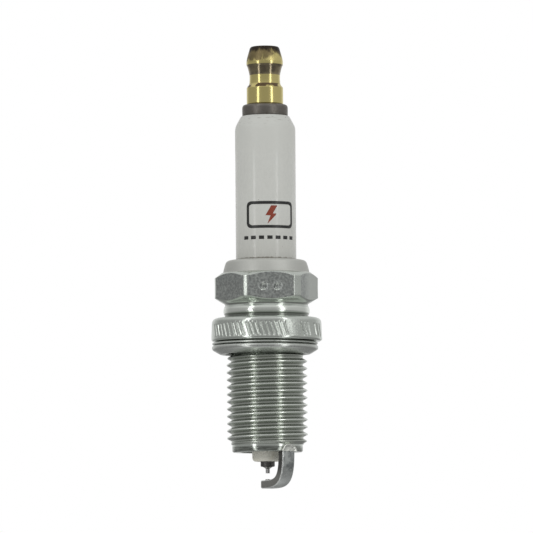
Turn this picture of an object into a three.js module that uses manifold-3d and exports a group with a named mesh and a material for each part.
// A 14 mm spark plug: resistor type, with a fine iridium tip, a loose crush gasket and a
// screw-on terminal nut.
//
// Millimetres, +Z along the plug towards its terminal. The origin is on the axis, in the plane of
// the shoulder that clamps the gasket, so the thread and the firing end lie below it. Two of the
// hexagon's flats face +Y and -Y. Most parts are turned, so an outline is a list of [radius, height]
// pairs that runs anticlockwise: up the outside and down the inside.

import * as THREE from 'three';
import { mergeVertices } from 'three/addons/utils/BufferGeometryUtils.js';
import Module from 'manifold-3d';

// ---- Facets and fits --------------------------------------------------------------------------

const COLUMNS = 36; // facets round the shell and what fits in it
const FINE_COLUMNS = 24; // facets round the slim parts
const FIRST_COLUMN = THREE.MathUtils.degToRad(5); // puts columns on the hexagon's corner bands
const FIT = 0.04; // gap between parts that are pressed, sealed or welded together
const RUNNING_FIT = 0.12; // gap round the terminal nut's thread

// ---- Terminal nut and stud --------------------------------------------------------------------

const NUT_HEIGHT = 10;
const NUT_COLLAR_RADIUS = 3.13;
const NUT_COLLAR_HEIGHT = 3;
const NUT_NECK_RADIUS = 2.62;
const NUT_NECK_HEIGHT = 2.2;
const NUT_HEAD_RADIUS = 3.13;
const NUT_TOP_RADIUS = 2.55;
const NUT_CONE_HEIGHT = 1.9;
const NUT_SLOPE = 0.6; // height of the short cone between collar and neck
const NUT_EDGE = 0.2;
const NUT_BORE_DEPTH = 7.5;

const STUD_FLANGE_RADIUS = 3.92;
const STUD_FLANGE_HEIGHT = 1.92;
const STUD_FLANGE_EDGE = 0.5;
const STUD_THREAD_CREST = 1.97;
const STUD_THREAD_PITCH = 0.7;
const STUD_THREAD_LENGTH = 5.6;
const STUD_THREAD_LIFT = 0.45; // plain neck between flange and thread
const STUD_END = 0.5; // plain end above the thread
const STUD_GAP = 0.25; // from the shank to the insulator's bore
const STUD_GROOVES = 4;
const STUD_GROOVE_PITCH = 0.8;
const STUD_GROOVE_DEPTH = 0.25;

// ---- Insulator --------------------------------------------------------------------------------

const INSULATOR_TOP = 38.75; // height over the seating shoulder
const INSULATOR_TOP_RADIUS = 4.1;
const INSULATOR_SLOPE = 1.75; // height of the cone below the top
const INSULATOR_SLOPE_RADIUS = 5.06;
const INSULATOR_SOFT_EDGE = 0.5; // height of the slight rounding under that cone
const INSULATOR_BODY_RADIUS = 5.18;
const INSULATOR_FLANGE_RADIUS = 6.15;
const INSULATOR_FLANGE_BASE = 3.2;
const INSULATOR_FLANGE_HEIGHT = 5.2;
const INSULATOR_STEM_RADIUS = 4.55;
const INSULATOR_NOSE_ROOT = 3.6; // radius where the nose leaves the conical seat
const INSULATOR_NOSE_RADIUS = 2.62;
const INSULATOR_NOSE_EDGE = 0.6;
const BORE_RADIUS = 2; // holds the stud, the glass and the resistor

// ---- Resistor and seals in the bore ------------------------------------------------------------

const ELECTRODE_HEAD_BASE = -3.4; // height of the step where the wide bore ends
const ELECTRODE_HEAD_HEIGHT = 1.3;
const HEAD_SEAT_SLOPE = 0.7;
const LOWER_GLASS_HEIGHT = 2.4;
const RESISTOR_HEIGHT = 6.5;
const UPPER_GLASS_HEIGHT = 5.2;
const STUD_IN_GLASS = 4.2; // how far the stud's grooved end reaches into the upper glass

// ---- Centre electrode --------------------------------------------------------------------------

const ELECTRODE_RADIUS = 1.22;
const ELECTRODE_BELOW_NOSE = 0.89;
const ELECTRODE_TAPER = 0.22;
const COPPER_RADIUS = 0.7;
const COPPER_COVER = 1.6; // nickel left below the copper
const WELD_TOP_RADIUS = 0.7;
const WELD_HEIGHT = 0.34;
const TIP_RADIUS = 0.36;
const TIP_LENGTH = 0.74;
const TIP_EDGE = 0.05;

// ---- Shell -------------------------------------------------------------------------------------

const REACH = 19; // seating shoulder to the end of the shell
const NOSE_BELOW_SHELL = 1.57;
const PILOT_LENGTH = 1.3;
const PILOT_RADIUS = 6.04;
const PILOT_EDGE = 0.22;
const SHELL_THREAD_CREST = 6.9;
const SHELL_THREAD_PITCH = 1.25;
const SHELL_THREAD_PHASE = 0.328; // height of a crest over +X
const THREAD_DEPTH_PER_PITCH = 0.6;
const CREST_SHARE = 0.14; // flat crest, as a share of the pitch
const ROOT_SHARE = 0.22;
const GASKET_GROOVE_RADIUS = 6.05;
const GASKET_GROOVE_HEIGHT = 2.3;
const FLANGE_MARGIN = 0.43; // how far the shoulder reaches past the gasket
const FLANGE_HEIGHT = 4.2;
const FLANGE_EDGE = 0.3;
const FLANGE_ROUND = 0.8;
const BARREL_HEIGHT = 2.15; // thin buckled ring between flange and hexagon
const BARREL_WALL = 0.8;
const BARREL_RIDGE = 0.2;
const HEX_HEIGHT = 5.35;
const HEX_WALL = 1.65; // from the cavity to the middle of a flat: 16 across the flats
const HEX_CORNER_WALL = 2.475; // from the cavity to a turned-off corner: 17.65 across
const HEX_LEDGE = 0.25; // from the crimp's foot to where the chamfers begin
const HEX_CHAMFER_RISE = 0.75; // height per radius of the upper chamfer
const HEX_UNDER_RISE = 0.63; // and of the lower one, which runs in to the barrel
const CRIMP_HEIGHT = 2.2;
const CRIMP_WALL = 1.07;
const CRIMP_LIP = 0.55; // thickness of the lip where it ends
const CRIMP_GAP = 0.15; // from the lip to the insulator
const CRIMP_TO_RING = 0.4; // from the lip's underside to the upper packing ring
const CAVITY_GAP = 0.2; // round the insulator's flange
const CAVITY_BASE = 2.3;
const CAVITY_SLOPE = 1.3;
const STEM_GAP = 0.2;
const LEDGE_HEIGHT = -7.2; // inner edge of the conical ledge that carries the insulator
const LEDGE_GAP = 0.3; // from the ledge to the insulator's nose
const LEDGE_SLOPE = 0.75;
const LEDGE_THICKNESS = 1.2;
const NOSE_CHAMBER_RADIUS = 4.6;

// ---- Seals between insulator and shell ----------------------------------------------------------

const SEAT_WASHER_THICKNESS = 0.4;
const PACKING_SHOULDER = 0.7; // height of the cone from the insulator's flange to its body
const PACKING_RING_HEIGHT = 1.09; // the rings are as wide as the space round the insulator

// ---- Gasket ------------------------------------------------------------------------------------

const GASKET_SHEET = 0.36;
const GASKET_FOLD_GAP = 0.14;
const GASKET_WIDTH = 2.6; // from the inner fold to the outer one
const GASKET_TOP_STEP = 0.08; // how far the top layer stops short of the outer fold
const GASKET_CLEARANCE = 0.45; // from the inner fold to the groove in the shell
const GASKET_HEIGHT = 2.14;
const GASKET_OUTER_BEND = 0.32;
const GASKET_SLOPE = THREE.MathUtils.degToRad(30); // of the bottom layer, down to its flat rim
const GASKET_PLAY = 0.06; // from the shoulder to the loose gasket

// ---- Ground electrode --------------------------------------------------------------------------

const STRAP_WIDTH = 2.6;
const STRAP_THICKNESS = 1.38;
const STRAP_EDGE = 0.25;
const STRAP_INSET = 0.1; // from the shell's pilot to the strap's outer face
const STRAP_PAST_AXIS = 0.33;
const STRAP_DIRECTION = THREE.MathUtils.degToRad(301); // anticlockwise from +X
const STRAP_LEG_SHARE = 0.98; // how far down the leg the bend begins to pull
const STRAP_ARM_SHARE = 0.28; // how far along the arm, from the leg, the bend stops pulling
const STRAP_STEPS = 20;
const SPARK_GAP = 1;
const PAD_RADIUS = 0.42;
const PAD_HEIGHT = 0.18;
const PAD_EDGE = 0.06;
const BEAD_WIDTH = 2.7;
const BEAD_HEIGHT = 1.15;
const BEAD_STAND = 0.3; // how far the weld bead stands out of the pilot
const BEAD_SINK = 0.5; // how far its middle lies inside the pilot's surface

// ---- Places worked out from the sizes -----------------------------------------------------------

const shellEnd = -REACH;
const noseEnd = shellEnd - NOSE_BELOW_SHELL;
const electrodeEnd = noseEnd - ELECTRODE_BELOW_NOSE;
const tipTop = electrodeEnd - WELD_HEIGHT - FIT;
const tipEnd = tipTop - TIP_LENGTH;
const padTop = tipEnd - SPARK_GAP;
const strapTop = padTop - PAD_HEIGHT - FIT;

const barrelTop = FLANGE_HEIGHT + BARREL_HEIGHT;
const hexTop = barrelTop + HEX_HEIGHT;
const crimpTop = hexTop + CRIMP_HEIGHT;
const cavityRadius = INSULATOR_FLANGE_RADIUS + CAVITY_GAP;
const stemBoreRadius = INSULATOR_STEM_RADIUS + STEM_GAP;
const ledgeRadius = INSULATOR_NOSE_ROOT + LEDGE_GAP;
const hexFlatRadius = cavityRadius + HEX_WALL;
const hexCornerRadius = cavityRadius + HEX_CORNER_WALL;
const hexChamferRadius = cavityRadius + CRIMP_WALL + HEX_LEDGE;
const barrelRadius = cavityRadius + BARREL_WALL;
const gasketRadius = GASKET_GROOVE_RADIUS + GASKET_CLEARANCE + GASKET_WIDTH;
const flangeRadius = gasketRadius + FLANGE_MARGIN;

const electrodeBore = ELECTRODE_RADIUS + FIT;
const boreFill = BORE_RADIUS - FIT; // radius of what fills the bore
const electrodeHeadTop = ELECTRODE_HEAD_BASE + ELECTRODE_HEAD_HEIGHT;
const resistorBase = electrodeHeadTop + LOWER_GLASS_HEIGHT + 2 * FIT;
const upperGlassBase = resistorBase + RESISTOR_HEIGHT + FIT;
const upperGlassTop = upperGlassBase + UPPER_GLASS_HEIGHT;
const studEnd = upperGlassTop - STUD_IN_GLASS;
const studFlangeBase = INSULATOR_TOP + FIT;
const nutBase = studFlangeBase + STUD_FLANGE_HEIGHT + FIT;

const flangeTop = INSULATOR_FLANGE_BASE + INSULATOR_FLANGE_HEIGHT;
const packingBase = flangeTop + PACKING_SHOULDER;
const packingHalfWidth = (cavityRadius - INSULATOR_BODY_RADIUS) / 2 - FIT;
const packingHalfHeight = PACKING_RING_HEIGHT / 2;
const packingCentreRadius = (cavityRadius + INSULATOR_BODY_RADIUS) / 2;
const upperRingHeight = crimpTop - CRIMP_LIP - CRIMP_TO_RING - packingHalfHeight;
const talcBase = packingBase + PACKING_RING_HEIGHT + 2 * FIT;
const talcTop = upperRingHeight - packingHalfHeight - FIT;

// ---- Outlines ----------------------------------------------------------------------------------

// Points of an elliptical arc, angles in degrees from the +radius direction.
function arc(centre, radii, from, to, steps) {
  return Array.from({ length: steps + 1 }, (_, step) => {
    const angle = THREE.MathUtils.degToRad(from + ((to - from) * step) / steps);
    return [centre[0] + radii[0] * Math.cos(angle), centre[1] + radii[1] * Math.sin(angle)];
  });
}

// Where a helical thread's outline lies on one side of it: crests and roots from bottom to top,
// with the depth fading out over one turn at each end.
function threadOutline({ crest, pitch, bottom, top, phase = 0 }, angle) {
  const depth = pitch * THREAD_DEPTH_PER_PITCH;
  const crestHalf = (pitch * CREST_SHARE) / 2;
  const rootHalf = (pitch * (1 - ROOT_SHARE)) / 2;
  const turn = angle / (2 * Math.PI);
  const firstTurn = Math.floor(bottom / pitch) - 2;
  const lastTurn = Math.ceil(top / pitch) + 1;
  const outline = [[crest - depth, bottom]];
  for (let count = firstTurn; count <= lastTurn; count += 1) {
    const middle = phase + pitch * (count + turn);
    for (const [offset, height] of [[-rootHalf, 0], [-crestHalf, 1], [crestHalf, 1], [rootHalf, 0]]) {
      const z = middle + offset;
      const fade = THREE.MathUtils.clamp(Math.min(z - bottom, top - z) / pitch, 0, 1);
      if (z > bottom + FIT && z < top - FIT) {
        outline.push([crest - depth + depth * height * fade, z]);
      }
    }
  }
  outline.push([crest - depth, top]);
  return outline;
}

// ---- Solids ------------------------------------------------------------------------------------

// A turned part. An outline that doesn't start on the axis is a ring, and is closed here.
function turned(outline, columns = COLUMNS) {
  const points = outline.map(([radius, height]) => new THREE.Vector2(radius, height));
  if (points[0].x > 0) {
    points.push(points[0].clone());
  }
  const geometry = new THREE.LatheGeometry(points, columns, FIRST_COLUMN);
  return geometry.rotateX(Math.PI / 2);
}

// Triangles between two neighbouring outlines, always taking the shorter next step.
function stitch(left, right, corners, triangles) {
  const span = (a, b) => corners[a].distanceTo(corners[b]);
  let i = 0;
  let j = 0;
  while (i < left.length - 1 || j < right.length - 1) {
    const leftSpan = i < left.length - 1 ? span(left[i + 1], right[j]) : Infinity;
    const rightSpan = j < right.length - 1 ? span(left[i], right[j + 1]) : Infinity;
    if (leftSpan <= rightSpan) {
      triangles.push([left[i], right[j], left[i + 1]]);
      i += 1;
    } else {
      triangles.push([left[i], right[j], right[j + 1]]);
      j += 1;
    }
  }
}

// A part whose outline changes with the angle, such as a thread or a hexagon.
function shapedAround(outlineAt, columns) {
  const corners = [];
  const chains = Array.from({ length: columns }, (_, column) => {
    const angle = FIRST_COLUMN + (2 * Math.PI * column) / columns;
    const chain = outlineAt(angle).map(([radius, height]) => {
      corners.push(new THREE.Vector3(radius * Math.cos(angle), radius * Math.sin(angle), height));
      return corners.length - 1;
    });
    const onAxis = Math.hypot(corners[chain[0]].x, corners[chain[0]].y) < Number.EPSILON;
    return onAxis ? chain : [...chain, chain[0]];
  });
  const triangles = [];
  chains.forEach((chain, column) => stitch(chain, chains[(column + 1) % columns], corners, triangles));
  const solidTriangles = triangles.filter(([a, b, c]) => (
    !corners[a].equals(corners[b]) && !corners[b].equals(corners[c]) && !corners[c].equals(corners[a])
  ));
  const geometry = new THREE.BufferGeometry().setFromPoints(corners);
  geometry.setIndex(solidTriangles.flat());
  return geometry;
}

// ---- Cutting one closed solid out of another ----------------------------------------------------

const wasm = await Module();
wasm.setup();

function toManifold(geometry) {
  const bare = geometry.clone();
  bare.deleteAttribute('normal');
  bare.deleteAttribute('uv');
  const merged = mergeVertices(bare);
  const vertProperties = new Float32Array(merged.attributes.position.array);
  const triVerts = new Uint32Array(merged.index.array);
  return new wasm.Manifold(new wasm.Mesh({ numProp: 3, vertProperties, triVerts }));
}

function cutAway(geometry, tool) {
  const mesh = toManifold(geometry).subtract(toManifold(tool)).getMesh();
  const result = new THREE.BufferGeometry();
  result.setAttribute('position', new THREE.BufferAttribute(mesh.vertProperties, 3));
  result.setIndex(new THREE.BufferAttribute(mesh.triVerts, 1));
  return result;
}

// ---- Materials ---------------------------------------------------------------------------------

function material(color, roughness, metalness) {
  return new THREE.MeshStandardMaterial({ color, roughness, metalness });
}

const brass = () => material('#b8a868', 0.3, 1);
const darkSteel = () => material('#5c5752', 0.6, 0.8);
const glazedCeramic = () => material('#e4e4dc', 0.15, 0);
const zincPlate = () => material('#a9aea6', 0.35, 1);
const nickelAlloy = () => material('#6e6e6c', 0.45, 1);
const iridium = () => material('#9a9a98', 0.35, 1);
const weldMetal = () => material('#8b8984', 0.5, 1);
const copper = () => material('#b87348', 0.35, 1);
const sealGlass = () => material('#4a4038', 0.3, 0.2);
const resistorMix = () => material('#2e2b2a', 0.7, 0);
const softSteel = () => material('#8d8f8c', 0.45, 1);
const talc = () => material('#d9d6cc', 0.9, 0);

// ---- Terminal nut and stud ---------------------------------------------------------------------

// Local height 0 is the nut's base. Its bore is blind, so the outline starts at the bore's end.
function terminalNut() {
  const neckBase = NUT_COLLAR_HEIGHT + NUT_SLOPE;
  const coneBase = NUT_COLLAR_HEIGHT + NUT_NECK_HEIGHT;
  const headBase = coneBase + NUT_CONE_HEIGHT;
  const boreRadius = STUD_THREAD_CREST + RUNNING_FIT;
  return turned([
    [0, NUT_BORE_DEPTH + boreRadius / 2],
    [boreRadius, NUT_BORE_DEPTH],
    [boreRadius, 0],
    [NUT_COLLAR_RADIUS - NUT_EDGE, 0],
    [NUT_COLLAR_RADIUS, NUT_EDGE],
    [NUT_COLLAR_RADIUS, NUT_COLLAR_HEIGHT],
    [NUT_NECK_RADIUS, neckBase],
    [NUT_NECK_RADIUS, coneBase],
    [NUT_HEAD_RADIUS, headBase],
    [NUT_HEAD_RADIUS, headBase + NUT_EDGE],
    [NUT_TOP_RADIUS, NUT_HEIGHT - NUT_EDGE],
    [NUT_TOP_RADIUS - NUT_EDGE, NUT_HEIGHT],
    [0, NUT_HEIGHT],
  ], FINE_COLUMNS);
}

// Local height 0 is the underside of the stud's flange, which rests on the insulator.
function terminalStud() {
  const shank = BORE_RADIUS - STUD_GAP;
  const end = studEnd - studFlangeBase;
  const thread = {
    crest: STUD_THREAD_CREST,
    pitch: STUD_THREAD_PITCH,
    bottom: STUD_FLANGE_HEIGHT + STUD_THREAD_LIFT,
    top: STUD_FLANGE_HEIGHT + STUD_THREAD_LIFT + STUD_THREAD_LENGTH,
  };
  const root = STUD_THREAD_CREST - STUD_THREAD_PITCH * THREAD_DEPTH_PER_PITCH;
  const grooves = Array.from({ length: STUD_GROOVES }, (_, groove) => {
    const base = end + STUD_GROOVE_PITCH * (groove + 0.5);
    return [
      [shank, base],
      [shank - STUD_GROOVE_DEPTH, base + STUD_GROOVE_DEPTH],
      [shank, base + 2 * STUD_GROOVE_DEPTH],
    ];
  }).flat();
  const flangeRound = arc(
    [STUD_FLANGE_RADIUS - STUD_FLANGE_EDGE, STUD_FLANGE_HEIGHT - STUD_FLANGE_EDGE],
    [STUD_FLANGE_EDGE, STUD_FLANGE_EDGE],
    0,
    90,
    3,
  );
  return shapedAround((angle) => [
    [0, end],
    [shank - STUD_GROOVE_DEPTH, end],
    [shank, end + STUD_GROOVE_DEPTH],
    ...grooves,
    [shank, 0],
    [STUD_FLANGE_RADIUS, 0],
    ...flangeRound,
    [root, STUD_FLANGE_HEIGHT],
    ...threadOutline(thread, angle),
    [root, thread.top + STUD_END - STUD_GROOVE_DEPTH],
    [root - STUD_GROOVE_DEPTH, thread.top + STUD_END],
    [0, thread.top + STUD_END],
  ], FINE_COLUMNS);
}

// ---- Insulator ---------------------------------------------------------------------------------

// Height of the shell's conical ledge at a radius; the washer and the insulator follow it.
function ledgeHeight(radius) {
  return LEDGE_HEIGHT + LEDGE_SLOPE * (radius - ledgeRadius);
}

// Height of the cone in the insulator's bore that carries the electrode's head.
function headSeatHeight(radius) {
  return ELECTRODE_HEAD_BASE + HEAD_SEAT_SLOPE * (radius - electrodeBore);
}

function insulator() {
  const seatLift = SEAT_WASHER_THICKNESS + 2 * FIT;
  return turned([
    [electrodeBore, noseEnd],
    ...arc(
      [INSULATOR_NOSE_RADIUS - INSULATOR_NOSE_EDGE, noseEnd + INSULATOR_NOSE_EDGE],
      [INSULATOR_NOSE_EDGE, INSULATOR_NOSE_EDGE],
      -90,
      0,
      4,
    ),
    [INSULATOR_NOSE_RADIUS, shellEnd],
    [INSULATOR_NOSE_ROOT, ledgeHeight(INSULATOR_NOSE_ROOT) + seatLift],
    [INSULATOR_STEM_RADIUS, ledgeHeight(INSULATOR_STEM_RADIUS) + seatLift],
    [INSULATOR_STEM_RADIUS, INSULATOR_FLANGE_BASE - CAVITY_SLOPE],
    [INSULATOR_FLANGE_RADIUS, INSULATOR_FLANGE_BASE],
    [INSULATOR_FLANGE_RADIUS, flangeTop],
    [INSULATOR_BODY_RADIUS, packingBase],
    [INSULATOR_BODY_RADIUS, INSULATOR_TOP - INSULATOR_SLOPE - INSULATOR_SOFT_EDGE],
    [INSULATOR_SLOPE_RADIUS, INSULATOR_TOP - INSULATOR_SLOPE],
    [INSULATOR_TOP_RADIUS, INSULATOR_TOP],
    [BORE_RADIUS, INSULATOR_TOP],
    [BORE_RADIUS, headSeatHeight(BORE_RADIUS)],
    [electrodeBore, headSeatHeight(electrodeBore)],
  ]);
}

// ---- Resistor and seals in the bore ------------------------------------------------------------

// A filling of the insulator's bore, standing on local height 0.
function boreFilling(height) {
  return turned([[0, 0], [boreFill, 0], [boreFill, height], [0, height]], FINE_COLUMNS);
}

// The upper glass closes round the stud's grooved end.
function upperGlassSeal() {
  const pocket = BORE_RADIUS - STUD_GAP + FIT;
  const pocketBase = UPPER_GLASS_HEIGHT - STUD_IN_GLASS - FIT;
  return turned([
    [0, 0],
    [boreFill, 0],
    [boreFill, UPPER_GLASS_HEIGHT],
    [pocket, UPPER_GLASS_HEIGHT],
    [pocket, pocketBase],
    [0, pocketBase],
  ], FINE_COLUMNS);
}

// ---- Centre electrode --------------------------------------------------------------------------

// Local height 0 is the rod's lower end. The copper's hole is open at the head.
function centreElectrode() {
  const headBase = (radius) => headSeatHeight(radius) - electrodeEnd + 2 * FIT;
  const headTop = electrodeHeadTop - electrodeEnd;
  return turned([
    [0, 0],
    [ELECTRODE_RADIUS - ELECTRODE_TAPER, 0],
    [ELECTRODE_RADIUS, ELECTRODE_TAPER],
    [ELECTRODE_RADIUS, headBase(ELECTRODE_RADIUS)],
    [boreFill, headBase(boreFill)],
    [boreFill, headTop],
    [COPPER_RADIUS, headTop],
    [COPPER_RADIUS, COPPER_COVER],
    [0, COPPER_COVER],
  ], FINE_COLUMNS);
}

function copperCore() {
  const radius = COPPER_RADIUS - FIT;
  const height = electrodeHeadTop - electrodeEnd - COPPER_COVER - FIT;
  return turned([
    [0, 0],
    [radius - ELECTRODE_TAPER, 0],
    [radius, ELECTRODE_TAPER],
    [radius, height],
    [0, height],
  ], FINE_COLUMNS);
}

function tipWeld() {
  return turned([
    [0, 0],
    [TIP_RADIUS, 0],
    [WELD_TOP_RADIUS, WELD_HEIGHT],
    [0, WELD_HEIGHT],
  ], FINE_COLUMNS);
}

function iridiumTip() {
  return turned([
    [0, 0],
    [TIP_RADIUS - TIP_EDGE, 0],
    [TIP_RADIUS, TIP_EDGE],
    [TIP_RADIUS, TIP_LENGTH],
    [0, TIP_LENGTH],
  ], FINE_COLUMNS);
}

// ---- Shell -------------------------------------------------------------------------------------

// The hexagon's radius on one side of it, with its corners turned off.
function hexRadius(angle) {
  const sector = Math.PI / 3;
  const fromFlat = (((angle % sector) + sector) % sector) - sector / 2;
  return Math.min(hexFlatRadius / Math.cos(fromFlat), hexCornerRadius);
}

function hexOutline(angle) {
  const radius = hexRadius(angle);
  const end = Math.min(radius, hexChamferRadius);
  const chamfer = (radius - end) * HEX_CHAMFER_RISE;
  return [
    [radius, barrelTop + (radius - barrelRadius) * HEX_UNDER_RISE],
    [radius, hexTop - chamfer],
    [end, hexTop],
  ];
}

function shell() {
  const lipRadius = INSULATOR_BODY_RADIUS + CRIMP_GAP;
  const lipBase = crimpTop - CRIMP_LIP;
  const crimpRadii = [cavityRadius + CRIMP_WALL - lipRadius, CRIMP_HEIGHT];
  const lipRadii = [cavityRadius - lipRadius, lipBase - upperRingHeight];
  const thread = {
    crest: SHELL_THREAD_CREST,
    pitch: SHELL_THREAD_PITCH,
    phase: SHELL_THREAD_PHASE,
    bottom: shellEnd + PILOT_LENGTH,
    top: -GASKET_GROOVE_HEIGHT,
  };
  const outside = [
    [PILOT_RADIUS - PILOT_EDGE, shellEnd],
    [PILOT_RADIUS, shellEnd + PILOT_EDGE],
    [PILOT_RADIUS, thread.bottom],
  ];
  const flange = [
    [GASKET_GROOVE_RADIUS, thread.top],
    [GASKET_GROOVE_RADIUS, 0],
    [flangeRadius - FLANGE_EDGE, 0],
    [flangeRadius, FLANGE_EDGE],
    ...arc(
      [flangeRadius - FLANGE_ROUND, FLANGE_HEIGHT - FLANGE_ROUND],
      [FLANGE_ROUND, FLANGE_ROUND],
      0,
      90,
      4,
    ),
    [barrelRadius, FLANGE_HEIGHT],
    [barrelRadius + BARREL_RIDGE, FLANGE_HEIGHT + BARREL_HEIGHT / 2],
    [barrelRadius, barrelTop],
  ];
  const crimp = arc([lipRadius, hexTop], crimpRadii, 0, 90, 6);
  const inside = [
    ...arc([lipRadius, upperRingHeight], lipRadii, 90, 0, 4),
    [cavityRadius, CAVITY_BASE],
    [stemBoreRadius, CAVITY_BASE - CAVITY_SLOPE],
    [stemBoreRadius, ledgeHeight(stemBoreRadius)],
    [ledgeRadius, LEDGE_HEIGHT],
    [ledgeRadius, LEDGE_HEIGHT - LEDGE_THICKNESS],
    [NOSE_CHAMBER_RADIUS, LEDGE_HEIGHT - 2 * LEDGE_THICKNESS],
    [NOSE_CHAMBER_RADIUS, shellEnd],
  ];
  return shapedAround((angle) => [
    ...outside,
    ...threadOutline(thread, angle),
    ...flange,
    ...hexOutline(angle),
    ...crimp,
    ...inside,
  ], COLUMNS);
}

// ---- Seals between insulator and shell ----------------------------------------------------------

function seatWasher() {
  const inner = ledgeRadius + FIT;
  const outer = stemBoreRadius - FIT;
  return turned([
    [inner, ledgeHeight(inner) + FIT],
    [outer, ledgeHeight(outer) + FIT],
    [outer, ledgeHeight(outer) + FIT + SEAT_WASHER_THICKNESS],
    [inner, ledgeHeight(inner) + FIT + SEAT_WASHER_THICKNESS],
  ]);
}

// A ring of wire pressed between insulator and shell, centred on local height 0.
function packingRing() {
  return turned(arc([packingCentreRadius, 0], [packingHalfWidth, packingHalfHeight], -180, 135, 7));
}

function talcPacking() {
  const inner = INSULATOR_BODY_RADIUS + FIT;
  const outer = cavityRadius - FIT;
  return turned([[inner, talcBase], [outer, talcBase], [outer, talcTop], [inner, talcTop]]);
}

// ---- Gasket ------------------------------------------------------------------------------------

// The section of a bent sheet of even thickness, from the line through its middle.
function sheetOutline(line, thickness) {
  const directions = line.slice(1).map((point, index) => point.clone().sub(line[index]).normalize());
  const side = (sign) => line.map((point, index) => {
    const before = directions[Math.max(index - 1, 0)];
    const after = directions[Math.min(index, directions.length - 1)];
    const along = before.clone().add(after).normalize();
    const reach = (sign * thickness) / 2 / along.dot(after);
    return [point.x + along.y * reach, point.y - along.x * reach];
  });
  return [...side(1), ...side(-1).reverse()];
}

// One sheet folded in three layers. Local height 0 is the top of the gasket.
function gasket() {
  const half = GASKET_SHEET / 2;
  const innerBend = (GASKET_SHEET + GASKET_FOLD_GAP) / 2;
  const innerFold = GASKET_GROOVE_RADIUS + GASKET_CLEARANCE + half + innerBend;
  const outerFold = gasketRadius - half - GASKET_OUTER_BEND;
  const middle = -half - 2 * innerBend;
  const bendEnd = {
    radius: outerFold + GASKET_OUTER_BEND * Math.cos(GASKET_SLOPE - Math.PI / 2),
    height: middle - GASKET_OUTER_BEND * (1 + Math.cos(GASKET_SLOPE)),
  };
  const bottom = half - GASKET_HEIGHT;
  const slopeRun = (bendEnd.height - bottom) / Math.tan(GASKET_SLOPE);
  const sheet = new THREE.Path();
  sheet.moveTo(gasketRadius - GASKET_TOP_STEP, -half);
  sheet.lineTo(innerFold, -half);
  sheet.absarc(innerFold, -half - innerBend, innerBend, Math.PI / 2, Math.PI * 1.5, false);
  sheet.lineTo(outerFold, middle);
  sheet.absarc(
    outerFold,
    middle - GASKET_OUTER_BEND,
    GASKET_OUTER_BEND,
    Math.PI / 2,
    GASKET_SLOPE - Math.PI / 2,
    true,
  );
  sheet.lineTo(bendEnd.radius - slopeRun, bottom);
  sheet.lineTo(innerFold, bottom);
  return turned(sheetOutline(sheet.getPoints(2), GASKET_SHEET));
}

// ---- Ground electrode --------------------------------------------------------------------------

// The strap's middle line, in the plane through the axis. Local height 0 is the shell's end.
function groundElectrode() {
  const leg = PILOT_RADIUS - STRAP_INSET - STRAP_THICKNESS / 2;
  const level = strapTop - STRAP_THICKNESS / 2 - shellEnd;
  const path = new THREE.CubicBezierCurve3(
    new THREE.Vector3(leg, 0, -FIT),
    new THREE.Vector3(leg, 0, level * STRAP_LEG_SHARE),
    new THREE.Vector3(leg - (leg + STRAP_PAST_AXIS) * STRAP_ARM_SHARE, 0, level),
    new THREE.Vector3(-STRAP_PAST_AXIS, 0, level),
  );
  const [x, y] = [STRAP_WIDTH / 2, STRAP_THICKNESS / 2];
  const section = new THREE.Shape([
    new THREE.Vector2(x - STRAP_EDGE, -y),
    new THREE.Vector2(x, STRAP_EDGE - y),
    new THREE.Vector2(x, y - STRAP_EDGE),
    new THREE.Vector2(x - STRAP_EDGE, y),
    new THREE.Vector2(STRAP_EDGE - x, y),
    new THREE.Vector2(-x, y - STRAP_EDGE),
    new THREE.Vector2(-x, STRAP_EDGE - y),
    new THREE.Vector2(STRAP_EDGE - x, -y),
  ]);
  return new THREE.ExtrudeGeometry(section, { steps: STRAP_STEPS, extrudePath: path });
}

function groundPad() {
  return turned([
    [0, 0],
    [PAD_RADIUS, 0],
    [PAD_RADIUS, PAD_HEIGHT - PAD_EDGE],
    [PAD_RADIUS - PAD_EDGE, PAD_HEIGHT],
    [0, PAD_HEIGHT],
  ], FINE_COLUMNS);
}

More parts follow.
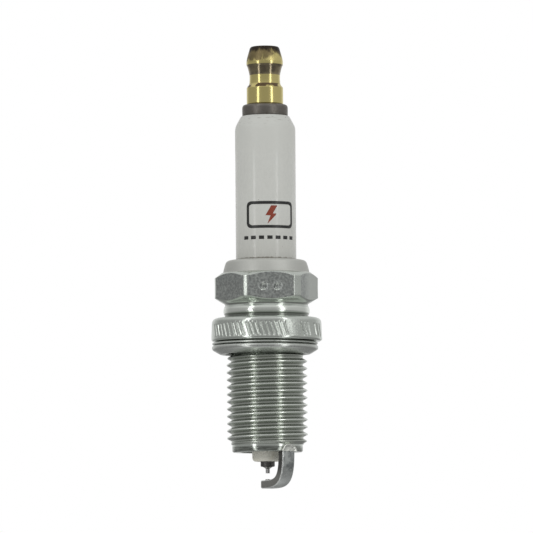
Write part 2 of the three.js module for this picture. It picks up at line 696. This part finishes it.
// A flat lump of weld metal on the pilot's outside, over the strap's root.
function groundWeldBead() {
  const lump = new THREE.SphereGeometry(1, FINE_COLUMNS, FINE_COLUMNS / 2);
  lump.scale(BEAD_STAND + BEAD_SINK, BEAD_WIDTH / 2, BEAD_HEIGHT / 2);
  lump.translate(PILOT_RADIUS - BEAD_SINK, 0, BEAD_HEIGHT / 2);
  const pilot = new THREE.CylinderGeometry(
    PILOT_RADIUS + FIT,
    PILOT_RADIUS + FIT,
    3 * BEAD_HEIGHT,
    COLUMNS,
  );
  return cutAway(lump, pilot.rotateX(Math.PI / 2));
}

// ---- Assembly ----------------------------------------------------------------------------------

function piece(name, geometry, finish, height = 0) {
  const mesh = new THREE.Mesh(geometry, finish);
  mesh.name = name;
  mesh.position.z = height;
  return mesh;
}

function terminalEnd() {
  return new THREE.Group().add(
    piece('terminal_nut', terminalNut(), brass(), nutBase),
    piece('terminal_stud', terminalStud(), darkSteel(), studFlangeBase),
  );
}

function core() {
  return new THREE.Group().add(
    piece('insulator', insulator(), glazedCeramic()),
    piece('upper_glass_seal', upperGlassSeal(), sealGlass(), upperGlassBase),
    piece('resistor', boreFilling(RESISTOR_HEIGHT), resistorMix(), resistorBase),
    piece('lower_glass_seal', boreFilling(LOWER_GLASS_HEIGHT), sealGlass(), electrodeHeadTop + FIT),
    piece('centre_electrode', centreElectrode(), nickelAlloy(), electrodeEnd),
    piece('copper_core', copperCore(), copper(), electrodeEnd + COPPER_COVER + FIT),
    piece('tip_weld', tipWeld(), weldMetal(), tipTop + FIT / 2),
    piece('iridium_tip', iridiumTip(), iridium(), tipEnd),
  );
}

function housing() {
  return new THREE.Group().add(
    piece('shell', shell(), zincPlate()),
    piece('seat_washer', seatWasher(), softSteel()),
    piece('lower_packing_ring', packingRing(), softSteel(), packingBase + FIT + packingHalfHeight),
    piece('talc_packing', talcPacking(), talc()),
    piece('upper_packing_ring', packingRing(), softSteel(), upperRingHeight),
    piece('gasket', gasket(), softSteel(), -GASKET_PLAY),
  );
}

function groundSide() {
  const group = new THREE.Group();
  group.position.z = shellEnd;
  group.rotation.z = STRAP_DIRECTION;
  return group.add(
    piece('ground_electrode', groundElectrode(), nickelAlloy()),
    piece('ground_pad', groundPad(), weldMetal(), padTop - PAD_HEIGHT - shellEnd),
    piece('ground_weld_bead', groundWeldBead(), weldMetal()),
  );
}

const sparkPlug = new THREE.Group();
sparkPlug.name = 'spark_plug';
sparkPlug.add(terminalEnd(), core(), housing(), groundSide());

export default sparkPlug;
